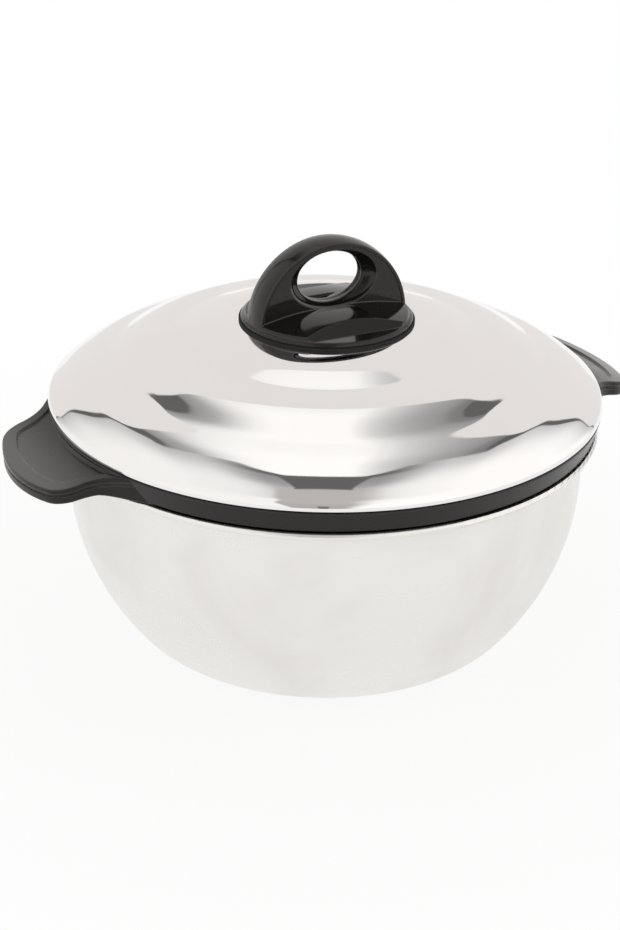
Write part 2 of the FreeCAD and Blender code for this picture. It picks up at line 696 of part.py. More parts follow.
def make_screw(side):
    """Pan-head screw with a cross slot, driven up from inside the lid."""
    place = FreeCAD.Vector(side * SCREW_X, 0, WASHER_LOW - SCREW_HEAD_H)
    head = Part.makeCylinder(SCREW_HEAD_R, SCREW_HEAD_H, place)
    low = [edge for edge in head.Edges if edge.CenterOfMass.z < place.z + SCREW_HEAD_H / 4
           and edge.Curve.TypeId == "Part::GeomCircle"]
    head = head.makeFillet(HEAD_ROUND, low)
    shank = Part.makeCylinder(SCREW_R, SCREW_LEN + WASHER_T,
                              place + FreeCAD.Vector(0, 0, SCREW_HEAD_H))
    screw = head.fuse(shank)
    for length, width in ((SLOT_L, SLOT_W), (SLOT_W, SLOT_L)):
        corner = place - FreeCAD.Vector(length / 2, width / 2, 0)
        screw = screw.cut(Part.makeBox(length, width, SLOT_DEPTH, corner))
    return screw


def make_washer(side):
    """Flat washer under the dome."""
    place = FreeCAD.Vector(side * SCREW_X, 0, WASHER_LOW)
    disc = Part.makeCylinder(WASHER_R, WASHER_T, place)
    return disc.cut(Part.makeCylinder(SCREW_R + HOLE_CLEAR, WASHER_T, place))


# ---------------------------------------------------------------- build

def build():
    """Every piece of the casserole by node name."""
    return {
        "outer_bowl": make_outer_bowl(),
        "inner_bowl": make_inner_bowl(),
        "bowl_foam": make_bowl_foam(),
        "handle_collar": make_collar(),
        "lid_dome": make_lid_dome(),
        "lid_liner": make_lid_liner(),
        "lid_foam": make_lid_foam(),
        "knob": make_knob(),
        "knob_gasket": make_gasket(),
        "knob_screw_left": make_screw(-1),
        "knob_screw_right": make_screw(1),
        "knob_washer_left": make_washer(-1),
        "knob_washer_right": make_washer(1),
    }


os.makedirs("parts", exist_ok=True)
for node, shape in build().items():
    shape.exportStep("parts/" + node + ".step")
    box = shape.BoundBox
    print("%-18s solids %d valid %s vol %.0f  x %.1f..%.1f y %.1f..%.1f z %.1f..%.1f" % (
        node, len(shape.Solids), shape.isValid(), shape.Volume,
        box.XMin, box.XMax, box.YMin, box.YMax, box.ZMin, box.ZMax))
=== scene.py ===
"""Dresses the insulated casserole: finishes, fine meshes and the studio round it.

Metres, +Z up, +X along the two handle wings, the origin in the middle of the base.
"""
import logging
import math
from dataclasses import dataclass
from enum import Enum
from typing import Sequence, Union

import bmesh
import bpy
from mathutils import Matrix, Vector
from mathutils.geometry import tessellate_polygon


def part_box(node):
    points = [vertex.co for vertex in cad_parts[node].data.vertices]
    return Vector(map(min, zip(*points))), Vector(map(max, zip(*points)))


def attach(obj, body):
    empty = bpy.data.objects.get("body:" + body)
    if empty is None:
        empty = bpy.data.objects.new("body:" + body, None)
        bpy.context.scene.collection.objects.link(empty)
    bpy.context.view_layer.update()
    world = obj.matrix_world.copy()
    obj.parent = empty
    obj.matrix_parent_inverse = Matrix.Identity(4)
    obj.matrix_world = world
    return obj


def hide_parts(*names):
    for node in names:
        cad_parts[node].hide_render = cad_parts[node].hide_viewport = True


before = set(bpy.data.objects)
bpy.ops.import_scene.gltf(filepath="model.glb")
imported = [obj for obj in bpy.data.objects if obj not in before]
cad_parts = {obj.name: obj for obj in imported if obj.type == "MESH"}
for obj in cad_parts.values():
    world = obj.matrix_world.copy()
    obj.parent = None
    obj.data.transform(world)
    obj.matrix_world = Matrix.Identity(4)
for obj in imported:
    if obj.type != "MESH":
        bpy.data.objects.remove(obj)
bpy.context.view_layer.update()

LOG = logging.getLogger("casserole")
Socket = bpy.types.NodeSocket
Value = Union[float, Sequence[float], Socket]
Colour = tuple[float, float, float]
Outline = tuple[tuple[float, float], ...]
Profile = list[tuple[float, float]]
Span = tuple[float, float]
Place = tuple[float, float, float]
Ring = list[bmesh.types.BMVert]


def circle(radius: float, height: float, count: int, middle: float = 0.0) -> list[Place]:
    """Points evenly round a level circle, whose middle lies on the X axis."""
    return [(middle + radius * math.cos(2 * math.pi * k / count),
             radius * math.sin(2 * math.pi * k / count), height) for k in range(count)]


class Slot(Enum):
    """Material slots of the record."""

    SHELL = "shell_steel"
    FOOD = "food_steel"
    DOME = "dome_steel"
    FOAM = "foam"
    HANDLE = "handle_plastic"
    KNOB = "knob_plastic"
    PAD = "pad_rubber"
    FIXING = "fixings"


class Body(Enum):
    """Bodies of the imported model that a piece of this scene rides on."""

    LID = "lid"


class Effect(Enum):
    """Shared shader node groups."""

    SPUN = "spun grain"
    SMUDGE = "handling smudges"
    MOULD = "mould grain"
    EDGE = "rounded edge"
    DUST = "settled dust"


# ------------------------------------------------------------------ node trees

class Graph:
    """One node tree, with short calls for the nodes that the finishes use."""

    def __init__(self, tree: bpy.types.NodeTree) -> None:
        """Keeps the tree and clears what it starts with."""
        self.tree = tree
        tree.nodes.clear()

    def add(self, kind: str, **settings: object) -> bpy.types.Node:
        """Adds a node.

        Args:
            kind: Blender's name of the node type.
            settings: properties to set on it.

        Returns:
            The new node.
        """
        node = self.tree.nodes.new(kind)
        for name, value in settings.items():
            setattr(node, name, value)
        return node

    def feed(self, socket: Socket, value: Value) -> None:
        """Links a socket to an input, or sets the input's own value."""
        if isinstance(value, bpy.types.NodeSocket):
            self.tree.links.new(value, socket)
        elif isinstance(value, (tuple, list)) and socket.type == "RGBA" and len(value) == 3:
            socket.default_value = (*value, 1.0)
        else:
            socket.default_value = value

    def math(self, operation: str, a: Value, b: Value = 0.0, c: Value = 0.0) -> Socket:
        """Puts up to three values through a Math node and returns its result."""
        node = self.add("ShaderNodeMath", operation=operation)
        for socket, value in zip(node.inputs, (a, b, c)):
            self.feed(socket, value)
        return node.outputs[0]

    def vector(self, operation: str, a: Value, b: Value = (0.0, 0.0, 0.0)) -> bpy.types.Node:
        """Puts two vectors through a Vector Math node and returns the node."""
        node = self.add("ShaderNodeVectorMath", operation=operation)
        self.feed(node.inputs[0], a)
        self.feed(node.inputs[1], b)
        return node

    def tone(self, value: Value, tint: Colour) -> Socket:
        """Multiplies a tint by a brightness, which may be above one."""
        node = self.vector("SCALE", tint)
        self.feed(node.inputs["Scale"], value)
        return node.outputs[0]

    def curve(self, value: Value, points: Outline) -> Socket:
        """Reads a value off a smooth line through points.

        Args:
            value: what is looked up; beyond the ends the line stays level.
            points: pairs of looked-up value and result, in rising order.

        Returns:
            The result.
        """
        first, last = points[0][0], points[-1][0]
        low = min(result for _, result in points)
        rise = max(result for _, result in points) - low
        spots = [((at - first) / (last - first), (result - low) / rise)
                 for at, result in points]
        node = self.add("ShaderNodeFloatCurve")
        line = node.mapping.curves[0]
        line.points[0].location, line.points[1].location = spots[0], spots[-1]
        for spot in spots[1:-1]:
            line.points.new(*spot)
        for spot in line.points:
            spot.handle_type = "AUTO_CLAMPED"
        node.mapping.update()
        share = self.add("ShaderNodeMapRange")
        for name, given in (("Value", value), ("From Min", first), ("From Max", last)):
            self.feed(share.inputs[name], given)
        self.feed(node.inputs["Value"], share.outputs[0])
        return self.math("MULTIPLY_ADD", node.outputs[0], rise, low)

    def inside(self, value: Value, limit: Value, blur: float) -> Socket:
        """1 where a value is below a limit, 0 above it, eased over a blur each way."""
        off = self.math("SUBTRACT", value, limit)
        return self.smooth(off, -blur, blur, 1.0, 0.0)

    def combine(self, x: Value, y: Value, z: Value) -> Socket:
        """Makes a vector of three values."""
        node = self.add("ShaderNodeCombineXYZ")
        for socket, value in zip(node.inputs, (x, y, z)):
            self.feed(socket, value)
        return node.outputs[0]

    def smooth(self, value: Value, low: Value, high: Value,
               start: Value = 0.0, end: Value = 1.0) -> Socket:
        """Eases from start to end as a value goes from low to high.

        Args:
            value: what is measured.
            low: where the easing starts.
            high: where it ends.
            start: result at low and before.
            end: result at high and after.

        Returns:
            The eased value.
        """
        node = self.add("ShaderNodeMapRange", interpolation_type="SMOOTHSTEP")
        for name, given in (("Value", value), ("From Min", low), ("From Max", high),
                            ("To Min", start), ("To Max", end)):
            self.feed(node.inputs[name], given)
        return node.outputs[0]

    def noise(self, place: Value, scale: Value, detail: float = 3.0,
              rough: float = 0.5, distortion: float = 0.0) -> Socket:
        """Noise of one value over a place vector."""
        node = self.add("ShaderNodeTexNoise")
        for name, given in (("Vector", place), ("Scale", scale), ("Detail", detail),
                            ("Roughness", rough), ("Distortion", distortion)):
            self.feed(node.inputs[name], given)
        return node.outputs["Fac"]

    def blend(self, share: Value, a: Value, b: Value) -> Socket:
        """Mixes two colours by a share."""
        node = self.add("ShaderNodeMix", data_type="RGBA")
        self.feed(node.inputs[0], share)
        self.feed(node.inputs[6], a)
        self.feed(node.inputs[7], b)
        return node.outputs[2]

    def between(self, share: Value, a: Value, b: Value) -> Socket:
        """Mixes two plain values by a share."""
        node = self.add("ShaderNodeMix", data_type="FLOAT")
        self.feed(node.inputs[0], share)
        self.feed(node.inputs[2], a)
        self.feed(node.inputs[3], b)
        return node.outputs[0]

    def bump(self, height: Value, depth: float, normal: Value | None = None) -> Socket:
        """Turns a height of 0 to 1 into a normal, for a relief of a depth in metres."""
        node = self.add("ShaderNodeBump")
        self.feed(node.inputs["Strength"], 1.0)
        self.feed(node.inputs["Distance"], depth)
        self.feed(node.inputs["Height"], height)
        if normal is not None:
            self.feed(node.inputs["Normal"], normal)
        return node.outputs[0]

    def place(self) -> Socket:
        """Coordinates that stay with the piece, in metres."""
        return self.add("ShaderNodeTexCoord").outputs["Object"]


class Effects:
    """Builds each shared effect once, as a node group."""

    def __init__(self) -> None:
        """Starts with no group built."""
        self.built: dict[Effect, bpy.types.NodeTree] = {}

    def use(self, graph: Graph, effect: Effect, **inputs: Value) -> bpy.types.Node:
        """Places an effect in a material.

        Args:
            graph: the material's node tree.
            effect: which effect.
            inputs: values of its inputs, with spaces as underscores.

        Returns:
            The group node.
        """
        node = graph.add("ShaderNodeGroup", node_tree=self.tree(effect))
        for name, value in inputs.items():
            graph.feed(node.inputs[name.replace("_", " ")], value)
        return node

    def tree(self, effect: Effect) -> bpy.types.NodeTree:
        """Returns the effect's group, built on first use."""
        if effect not in self.built:
            makers = {Effect.SPUN: self.spun, Effect.SMUDGE: self.smudge,
                      Effect.MOULD: self.mould, Effect.EDGE: self.edge,
                      Effect.DUST: self.dust}
            self.built[effect] = makers[effect](effect.value)
        return self.built[effect]

    @staticmethod
    def start(name: str, inputs: dict[str, float], outputs: Sequence[str]
              ) -> tuple[Graph, bpy.types.Node, bpy.types.Node]:
        """Makes an empty group.

        Args:
            name: name of the group.
            inputs: each input and its default.
            outputs: names of the output values.

        Returns:
            The graph, its input node and its output node.
        """
        tree = bpy.data.node_groups.new(name, "ShaderNodeTree")
        for label, value in inputs.items():
            socket = tree.interface.new_socket(label, in_out="INPUT",
                                               socket_type="NodeSocketFloat")
            socket.default_value = value
        for label in outputs:
            kind = "NodeSocketVector" if label == "Normal" else "NodeSocketFloat"
            tree.interface.new_socket(label, in_out="OUTPUT", socket_type=kind)
        graph = Graph(tree)
        return graph, graph.add("NodeGroupInput"), graph.add("NodeGroupOutput")

    def spun(self, name: str) -> bpy.types.NodeTree:
        """Rings left by a polishing wheel on a turned sheet: a value and a height."""
        graph, given, result = self.start(
            name, {"Pitch": 0.0006, "Length": 0.06}, ("Line", "Broad"))
        parts = graph.add("ShaderNodeSeparateXYZ")
        graph.feed(parts.inputs[0], graph.place())
        x, y, z = parts.outputs
        radius = graph.math("SQRT", graph.math("ADD", graph.math("MULTIPLY", x, x),
                                               graph.math("MULTIPLY", y, y)))
        turn = graph.math("ARCTAN2", y, x)
        along = graph.math("DIVIDE", graph.math("MULTIPLY", turn, radius),
                           given.outputs["Length"])
        across = graph.math("DIVIDE", radius, given.outputs["Pitch"])
        down = graph.math("DIVIDE", z, given.outputs["Pitch"])
        place = graph.combine(across, graph.math("ABSOLUTE", along), down)
        graph.feed(result.inputs["Line"], graph.noise(place, 1.0, detail=2.0, rough=0.6))
        graph.feed(result.inputs["Broad"], graph.noise(place, 0.12, rough=0.6))
        return graph.tree

    def smudge(self, name: str) -> bpy.types.NodeTree:
        """Faint patches that wiping and handling leave on a clean surface."""
        graph, given, result = self.start(
            name, {"Scale": 14.0, "Cover": 0.5, "Blur": 0.12}, ("Mask", "Streak"))
        place = graph.place()
        scale = given.outputs["Scale"]
        patch = graph.noise(place, scale, detail=5.0, rough=0.55, distortion=0.6)
        low = graph.math("SUBTRACT", given.outputs["Cover"], given.outputs["Blur"])
        high = graph.math("ADD", given.outputs["Cover"], given.outputs["Blur"])
        graph.feed(result.inputs["Mask"], graph.smooth(patch, low, high))
        flat = graph.vector("MULTIPLY", place, (1.0, 1.0, 5.0)).outputs[0]
        streak = graph.noise(flat, graph.math("MULTIPLY", scale, 4.0),
                             detail=4.0, rough=0.6, distortion=0.3)
        graph.feed(result.inputs["Streak"], streak)
        return graph.tree

    def mould(self, name: str) -> bpy.types.NodeTree:
        """Fine eroded texture of a moulded surface, with slow flow variation."""
        graph, given, result = self.start(name, {"Size": 0.0005}, ("Grain", "Flow"))
        place = graph.place()
        scale = graph.math("DIVIDE", 1.0, given.outputs["Size"])
        fine = graph.noise(place, scale, detail=2.0, rough=0.6)
        pits = graph.add("ShaderNodeTexVoronoi", feature="SMOOTH_F1")
        graph.feed(pits.inputs["Vector"], place)
        graph.feed(pits.inputs["Scale"], graph.math("MULTIPLY", scale, 0.7))
        mixed = graph.between(0.5, fine, pits.outputs["Distance"])
        graph.feed(result.inputs["Grain"], mixed)
        graph.feed(result.inputs["Flow"], graph.noise(place, 22.0, distortion=0.8))
        return graph.tree

    def edge(self, name: str) -> bpy.types.NodeTree:
        """Mask of the outward edges, which lightens them as a painted highlight line, and their
        rounded normal.
        """
        graph, given, result = self.start(name, {"Radius": 0.0008, "Reach": 0.3},
                                          ("Mask", "Normal"))
        soft = graph.add("ShaderNodeBevel", samples=6)
        graph.feed(soft.inputs["Radius"], given.outputs["Radius"])
        graph.feed(result.inputs["Normal"], soft.outputs[0])
        plain = graph.add("ShaderNodeNewGeometry").outputs["Normal"]
        facing = graph.vector("DOT_PRODUCT", soft.outputs[0], plain).outputs["Value"]
        bend = graph.math("SUBTRACT", 1.0, facing)
        graph.feed(result.inputs["Mask"],
                   graph.smooth(bend, 0.01, given.outputs["Reach"]))
        return graph.tree

    def dust(self, name: str) -> bpy.types.NodeTree:
        """Sparse fine specks on faces that look up."""
        graph, given, result = self.start(name, {"Size": 0.0004, "Cover": 0.2}, ("Mask",))
        cells = graph.add("ShaderNodeTexVoronoi")
        graph.feed(cells.inputs["Vector"], graph.place())
        graph.feed(cells.inputs["Scale"], graph.math("DIVIDE", 0.35, given.outputs["Size"]))
        speck = graph.smooth(cells.outputs["Distance"], 0.05, 0.16, 1.0, 0.0)
        tint = graph.add("ShaderNodeSeparateColor")
        graph.feed(tint.inputs[0], cells.outputs["Color"])
        chosen = graph.math("LESS_THAN", tint.outputs[0], given.outputs["Cover"])
        split = graph.add("ShaderNodeSeparateXYZ")
        graph.feed(split.inputs[0], graph.add("ShaderNodeNewGeometry").outputs["Normal"])
        up = graph.smooth(split.outputs[2], 0.2, 0.8)
        graph.feed(result.inputs["Mask"],
                   graph.math("MULTIPLY", graph.math("MULTIPLY", speck, chosen), up))
        return graph.tree


# ------------------------------------------------------------------ finishes

class Finish:
    """Base of every finish: makes one material with a Principled surface."""

    name: str

    def surface(self) -> tuple[bpy.types.Material, Graph, bpy.types.Node]:
        """Makes the empty material.

        Returns:
            The material, its graph and its Principled node.
        """
        material = bpy.data.materials.new(self.name)
        material.use_nodes = True
        graph = Graph(material.node_tree)
        shader = graph.add("ShaderNodeBsdfPrincipled")
        output = graph.add("ShaderNodeOutputMaterial")
        graph.feed(output.inputs["Surface"], shader.outputs["BSDF"])
        return material, graph, shader

    def material(self, effects: Effects) -> bpy.types.Material:
        """Builds the material from the shared effects; each finish has its own way."""
        raise NotImplementedError


@dataclass(frozen=True)
class SteelFinish(Finish):
    """Stainless steel sheet, from mirror polish to brushed satin."""

    name: str
    colour: Colour
    tarnish: Colour            # colour under the faint smudges
    roughness: float
    grain_spread: float        # how much the polishing rings vary the roughness
    pitch: float               # spacing of those rings, metres
    relief: float              # their depth, metres
    smudge: float              # how much the smudges dull the surface
    wave: float                # slow waviness of the pressed sheet, metres
    anisotropy: float = 0.0

    def material(self, effects: Effects) -> bpy.types.Material:
        """Builds the material from the shared effects."""
        material, graph, shader = self.surface()
        spun = effects.use(graph, Effect.SPUN, Pitch=self.pitch, Length=0.05)
        wipe = effects.use(graph, Effect.SMUDGE, Scale=13.0, Cover=0.56, Blur=0.13)
        share = graph.math("MULTIPLY", wipe.outputs["Mask"], self.smudge)
        streak = graph.math("MULTIPLY", wipe.outputs["Streak"], 0.35)
        dull = graph.math("MULTIPLY", share, graph.math("ADD", streak, 0.65))
        graph.feed(shader.inputs["Base Color"], graph.blend(dull, self.colour, self.tarnish))
        ring = graph.between(0.6, spun.outputs["Broad"], spun.outputs["Line"])
        rough = graph.math("MULTIPLY_ADD", ring, self.grain_spread,
                           self.roughness - self.grain_spread / 2)
        rough = graph.math("MULTIPLY_ADD", dull, self.roughness * 0.6, rough)
        graph.feed(shader.inputs["Roughness"], rough)
        shader.inputs["Metallic"].default_value = 1.0
        shader.inputs["Anisotropic"].default_value = self.anisotropy
        slow = graph.noise(graph.place(), 16.0, detail=2.0, rough=0.4)
        wavy = graph.bump(slow, self.wave)
        graph.feed(shader.inputs["Normal"],
                   graph.bump(spun.outputs["Line"], self.relief, wavy))
        return material


@dataclass(frozen=True)
class PlasticFinish(Finish):
    """Moulded black plastic, satin or gloss."""

    name: str
    colour: Colour
    highlight_and_flow_colour: Colour               # lighter colour of the painted highlight on edges, the painted sheen on wing tops and the slow flow tone
    roughness: float
    grain_size: float          # size of the mould texture, metres
    grain_depth: float         # its depth, metres
    specular: float
    dust: float                # share of dust specks
    dust_colour: Colour = (0.32, 0.31, 0.30)
    sheen_from: float | None = None      # where the painted sheen on the up-facing tops starts, metres from the middle
    sheen_over: float = 0.03             # the painted sheen grows over this distance
    tint: Colour = (1.0, 0.94, 0.91)       # of the gloss
    polish: float = 0.22                   # roughness of the clear coat on those tops

    def material(self, effects: Effects) -> bpy.types.Material:
        """Builds the material from the shared effects."""
        material, graph, shader = self.surface()
        mould = effects.use(graph, Effect.MOULD, Size=self.grain_size)
        edge = effects.use(graph, Effect.EDGE, Radius=0.0011, Reach=0.09)
        wipe = effects.use(graph, Effect.SMUDGE, Scale=30.0, Cover=0.55, Blur=0.2)
        dust = effects.use(graph, Effect.DUST, Size=0.0004, Cover=self.dust)
        # The edge mask lightens the colour as a painted highlight line along the edges; the mould
        # flow adds a slow tone variation.
        flow = graph.math("MULTIPLY", mould.outputs["Flow"], 0.125)
        highlight_and_flow = graph.math("MAXIMUM", edge.outputs["Mask"], flow)
        if self.sheen_from is not None:
            # Up-facing wing tops get a lighter colour as painted sheen, and a clear coat over it.
            top_sheen = self.top_sheen(graph, self.sheen_from)
            highlight_and_flow = graph.math("MAXIMUM", highlight_and_flow, graph.math("MULTIPLY", top_sheen, 0.4))
            graph.feed(shader.inputs["Coat Weight"], top_sheen)
            shader.inputs["Coat Roughness"].default_value = self.polish
        shader.inputs["Specular Tint"].default_value = (*self.tint, 1.0)
        tinted = graph.blend(highlight_and_flow, self.colour, self.highlight_and_flow_colour)
        graph.feed(shader.inputs["Base Color"],
                   graph.blend(graph.math("MULTIPLY", dust.outputs["Mask"], 0.5),
                               tinted, self.dust_colour))
        rough = graph.math("MULTIPLY_ADD", wipe.outputs["Mask"], self.roughness * 0.35,
                           self.roughness * 0.85)
        rough = graph.math("MULTIPLY_ADD", mould.outputs["Grain"], self.roughness * 0.3, rough)
        graph.feed(shader.inputs["Roughness"],
                   graph.math("ADD", rough, graph.math("MULTIPLY", dust.outputs["Mask"], 0.3)))
        shader.inputs["Specular IOR Level"].default_value = self.specular
        graph.feed(shader.inputs["Normal"],
                   graph.bump(mould.outputs["Grain"], self.grain_depth,
                              edge.outputs["Normal"]))
        return material

    def top_sheen(self, graph: Graph, start: float) -> Socket:
        """Share of the painted sheen and the clear coat on the faces that look up, beyond a
        distance to either side.
        """
        spot = graph.add("ShaderNodeSeparateXYZ")
        graph.feed(spot.inputs[0], graph.place())
        face = graph.add("ShaderNodeSeparateXYZ")
        graph.feed(face.inputs[0], graph.add("ShaderNodeNewGeometry").outputs["Normal"])
        out = graph.math("ABSOLUTE", spot.outputs[0])
        wide = graph.smooth(out, start, start + self.sheen_over, 0.0, 0.9)
        return graph.math("MULTIPLY", wide, graph.smooth(face.outputs[2], 0.3, 0.85))


@dataclass(frozen=True)
class RubberFinish(Finish):
    """Matte black rubber with a fine bloom."""

    name: str
    colour: Colour
    bloom: Colour

    def material(self, effects: Effects) -> bpy.types.Material:
        """Builds the material from the shared effects."""
        material, graph, shader = self.surface()
        mould = effects.use(graph, Effect.MOULD, Size=0.0003)
        wipe = effects.use(graph, Effect.SMUDGE, Scale=40.0, Cover=0.5, Blur=0.25)
        share = graph.math("MULTIPLY", wipe.outputs["Mask"], 0.5)
        graph.feed(shader.inputs["Base Color"], graph.blend(share, self.colour, self.bloom))
        graph.feed(shader.inputs["Roughness"],
                   graph.math("MULTIPLY_ADD", mould.outputs["Grain"], 0.2, 0.65))
        shader.inputs["Specular IOR Level"].default_value = 0.3
        graph.feed(shader.inputs["Normal"], graph.bump(mould.outputs["Grain"], 0.00006))
        return material


@dataclass(frozen=True)
class FoamFinish(Finish):
    """Rigid cream foam with open cut cells."""

    name: str
    colour: Colour
    pore_shade: Colour

    def material(self, effects: Effects) -> bpy.types.Material:
        """Builds the material from the shared effects."""
        material, graph, shader = self.surface()
        cells = graph.add("ShaderNodeTexVoronoi", feature="SMOOTH_F1")
        graph.feed(cells.inputs["Vector"], graph.place())
        graph.feed(cells.inputs["Scale"], 900.0)
        mould = effects.use(graph, Effect.MOULD, Size=0.004)
        # The pore colour darkens the hollows of the cells as painted shade; the mould flow adds a
        # slow tone variation.
        depth = graph.smooth(cells.outputs["Distance"], 0.1, 0.6)
        dark = graph.math("MULTIPLY", graph.math("SUBTRACT", 1.0, depth), 0.6)
        dark = graph.math("MULTIPLY_ADD", mould.outputs["Flow"], 0.3, dark)
        graph.feed(shader.inputs["Base Color"], graph.blend(dark, self.colour, self.pore_shade))
        graph.feed(shader.inputs["Roughness"], graph.math("MULTIPLY_ADD", depth, -0.1, 0.95))
        graph.feed(shader.inputs["Normal"], graph.bump(depth, 0.0004))
        return material


MIRROR_STEEL = SteelFinish(
    "mirror polished dome", colour=(0.865, 0.850, 0.840), tarnish=(0.80, 0.78, 0.765),
    roughness=0.036, grain_spread=0.02, pitch=0.0007, relief=0.0000005, smudge=0.30,
    wave=0.00003)
SATIN_STEEL = SteelFinish(
    "satin shell", colour=(0.848, 0.829, 0.802), tarnish=(0.775, 0.753, 0.723),
    roughness=0.28, grain_spread=0.10, pitch=0.0005, relief=0.000003, smudge=0.75,
    wave=0.00003, anisotropy=0.3)
FOOD_STEEL = SteelFinish(
    "brushed food bowl", colour=(0.76, 0.755, 0.745), tarnish=(0.70, 0.69, 0.675),
    roughness=0.26, grain_spread=0.16, pitch=0.0007, relief=0.000008, smudge=0.4,
    wave=0.00003, anisotropy=0.5)
FIXING_STEEL = SteelFinish(
    "plated fixings", colour=(0.62, 0.615, 0.60), tarnish=(0.50, 0.48, 0.45),
    roughness=0.34, grain_spread=0.14, pitch=0.0003, relief=0.000006, smudge=0.6, wave=0.0)
SATIN_PLASTIC = PlasticFinish(
    "satin handle plastic", colour=(0.0050, 0.0043, 0.0040), highlight_and_flow_colour=(0.050, 0.047, 0.046),
    roughness=0.24, grain_size=0.0006, grain_depth=0.000006, specular=0.33, dust=0.08,
    sheen_from=0.124)
GLOSS_PLASTIC = PlasticFinish(
    "gloss knob plastic", colour=(0.0035, 0.0028, 0.0025), highlight_and_flow_colour=(0.055, 0.050, 0.048),
    roughness=0.08, grain_size=0.0012, grain_depth=0.000003, specular=0.40, dust=0.08)
PAD_RUBBER = RubberFinish(
    "knob pad rubber", colour=(0.012, 0.012, 0.012), bloom=(0.030, 0.029, 0.028))
RIGID_FOAM = FoamFinish("rigid foam", colour=(0.72, 0.60, 0.36), pore_shade=(0.42, 0.31, 0.15))

FINISHES: dict[Slot, Finish] = {
    Slot.SHELL: SATIN_STEEL, Slot.FOOD: FOOD_STEEL, Slot.DOME: MIRROR_STEEL,
    Slot.FOAM: RIGID_FOAM, Slot.HANDLE: SATIN_PLASTIC, Slot.KNOB: GLOSS_PLASTIC,
    Slot.PAD: PAD_RUBBER, Slot.FIXING: FIXING_STEEL,
}


class Wardrobe:
    """Makes each finish once and puts it on pieces."""

    def __init__(self) -> None:
        """Starts with the shared effects and no material."""
        self.effects = Effects()
        self.made: dict[Slot, bpy.types.Material] = {}

    def material(self, slot: Slot) -> bpy.types.Material:
        """Returns the material of a slot, built on first use."""
        if slot not in self.made:
            self.made[slot] = FINISHES[slot].material(self.effects)
        return self.made[slot]

    def dress_node(self, node: str, slot: Slot) -> None:
        """Puts a finish on a CAD node.

        Args:
            node: name of the node.
            slot: the record's slot of that node.
        """
        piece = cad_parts[node]
        for index in range(max(1, len(piece.material_slots))):
            if index >= len(piece.material_slots):
                piece.data.materials.append(None)
            piece.material_slots[index].link = "OBJECT"
            piece.material_slots[index].material = self.material(slot)
        LOG.info("dressed %s with %s", node, self.material(slot).name)


# ------------------------------------------------------------------ sub-assemblies

@dataclass
class Bowl:
    """The double-walled bowl with its collar."""

    wardrobe: Wardrobe

    def build(self) -> None:
        """Dresses the bowl's own nodes."""
        for node, slot in (("outer_bowl", Slot.SHELL), ("inner_bowl", Slot.FOOD),
                           ("bowl_foam", Slot.FOAM), ("handle_collar", Slot.HANDLE)):
            self.wardrobe.dress_node(node, slot)


